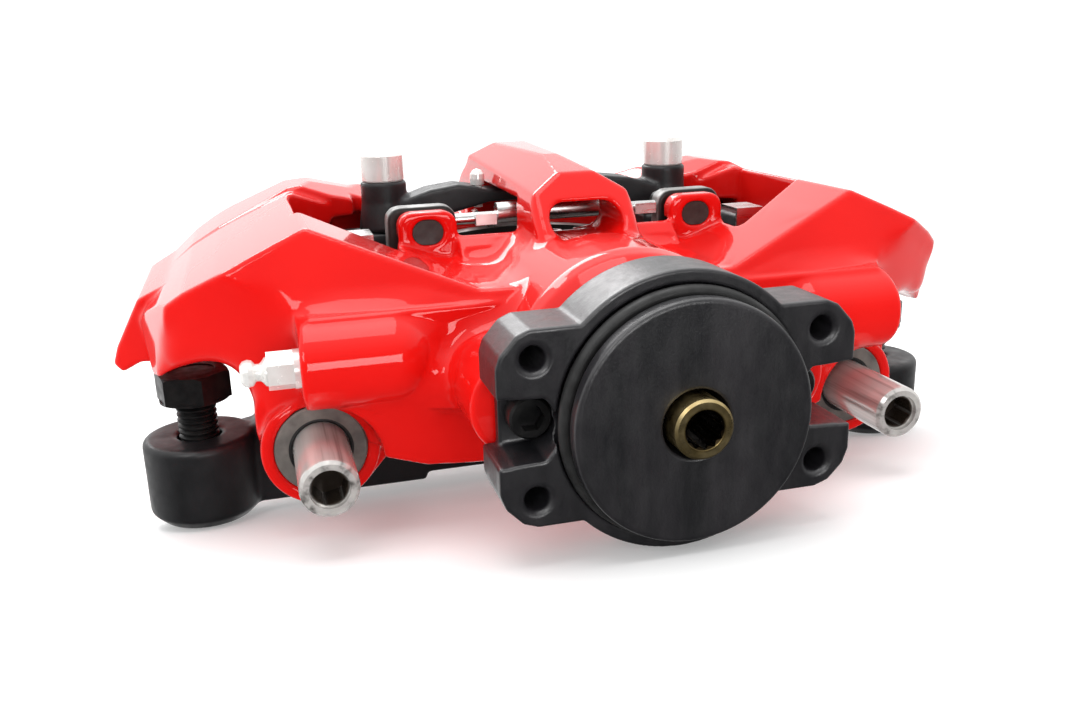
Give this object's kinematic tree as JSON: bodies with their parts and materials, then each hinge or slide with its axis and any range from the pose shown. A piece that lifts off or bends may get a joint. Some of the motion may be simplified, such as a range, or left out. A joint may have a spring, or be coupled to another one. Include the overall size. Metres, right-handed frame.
{
  "type": "brake caliper",
  "caption": "Red single-piston floating brake caliper with faceted housing on a black carrier, twin guide pins and a flanged electric parking brake drive.",
  "frame": {"origin": "midway between the two radial mounting bores, on the lower faces of their bosses", "axes": "+X along the caliper, tangential to the disc; +Y along the disc axis towards the outboard side; +Z radially outwards, away from the disc centre"},
  "size_m": [0.2352, 0.1647, 0.0877],
  "materials": {
    "carrier_black": "black coated casting, satin",
    "bolt_black": "black oxide, satin",
    "pin_steel": "ground and polished steel",
    "nickel": "bright nickel plating",
    "stainless": "rolled stainless strip",
    "housing_red": "gloss red lacquer over a casting",
    "bush_grey": "dull grey bush",
    "seal_rubber": "matt black rubber",
    "anodised_black": "black anodised, turned",
    "brass": "machined brass",
    "machined_steel": "turned steel",
    "piston_metal": "hard plated, polished",
    "plate_steel": "dark coated plate",
    "friction": "rough pressed friction compound"
  },
  "bodies": {
    "carrier": {"carrier": "carrier_black", "guide_pins": "pin_steel", "brace": "carrier_black", "brace_screws": "nickel", "brace_rivets": "nickel", "abutment_clips": "stainless"},
    "housing": {"housing": "housing_red", "guide_bushes": "bush_grey", "pin_wipers": "seal_rubber", "adapter": "anodised_black", "adapter_screws": "bolt_black", "pilot_seal": "seal_rubber", "thrust_bearing": "machined_steel", "piston_seal": "seal_rubber", "dust_boot": "seal_rubber", "pad_pins": "pin_steel", "inlet_seat": "brass"},
    "spindle": {"spindle": "machined_steel", "drive_socket": "brass", "spindle_circlip": "machined_steel", "spindle_seal": "seal_rubber"},
    "nut": {"spindle_nut": "brass"},
    "piston": {"piston": "piston_metal"},
    "inboard_pad": {"inboard_backplate": "plate_steel", "inboard_friction": "friction", "cross_pin": "stainless"},
    "outboard_pad": {"outboard_backplate": "plate_steel", "outboard_friction": "friction", "pad_clip": "stainless"},
    "bleed_screw": {"bleed_screw": "nickel"},
    "mount_bolt_left": {"mount_bolt_left": "bolt_black"},
    "mount_bolt_right": {"mount_bolt_right": "bolt_black"}
  },
  "joints": [
    {"name": "housing_slide", "type": "slide", "parent": "carrier", "child": "housing", "axis": [0, -1, 0], "range_m": [0, 0.008]},
    {"name": "piston_advance", "type": "slide", "parent": "housing", "child": "piston", "axis": [0, 1, 0], "range_m": [0, 0.016]},
    {"name": "inboard_pad_slide", "type": "slide", "parent": "carrier", "child": "inboard_pad", "axis": [0, 1, 0], "range_m": [0, 0.008]},
    {"name": "outboard_pad_slide", "type": "slide", "parent": "carrier", "child": "outboard_pad", "axis": [0, -1, 0], "range_m": [0, 0.008]},
    {"name": "spindle_turn", "type": "hinge", "parent": "housing", "child": "spindle", "pos_m": [0, -0.0843, 0.0435], "axis": [0, 1, 0], "range_deg": [0, 1440]},
    {"name": "nut_advance", "type": "slide", "parent": "housing", "child": "nut", "axis": [0, 1, 0], "range_m": [0, 0.008]},
    {"name": "bleed_screw_turn", "type": "hinge", "parent": "housing", "child": "bleed_screw", "pos_m": [-0.0723, -0.042, 0.0486], "axis": [-1, 0, 0], "range_deg": [0, 180]},
    {"name": "mount_bolt_left_down", "type": "slide", "parent": "carrier", "child": "mount_bolt_left", "axis": [0, 0, -1], "range_m": [0, 0.0094]},
    {"name": "mount_bolt_right_down", "type": "slide", "parent": "carrier", "child": "mount_bolt_right", "axis": [0, 0, -1], "range_m": [0, 0.0094]}
  ],
  "couplings": [
    {"joint": "piston_advance", "follows": "housing_slide", "ratio": 2},
    {"joint": "inboard_pad_slide", "follows": "housing_slide", "ratio": 1},
    {"joint": "outboard_pad_slide", "follows": "housing_slide", "ratio": 1},
    {"joint": "spindle_turn", "follows": "nut_advance", "rad_per_m": 3141.6}
  ]
}
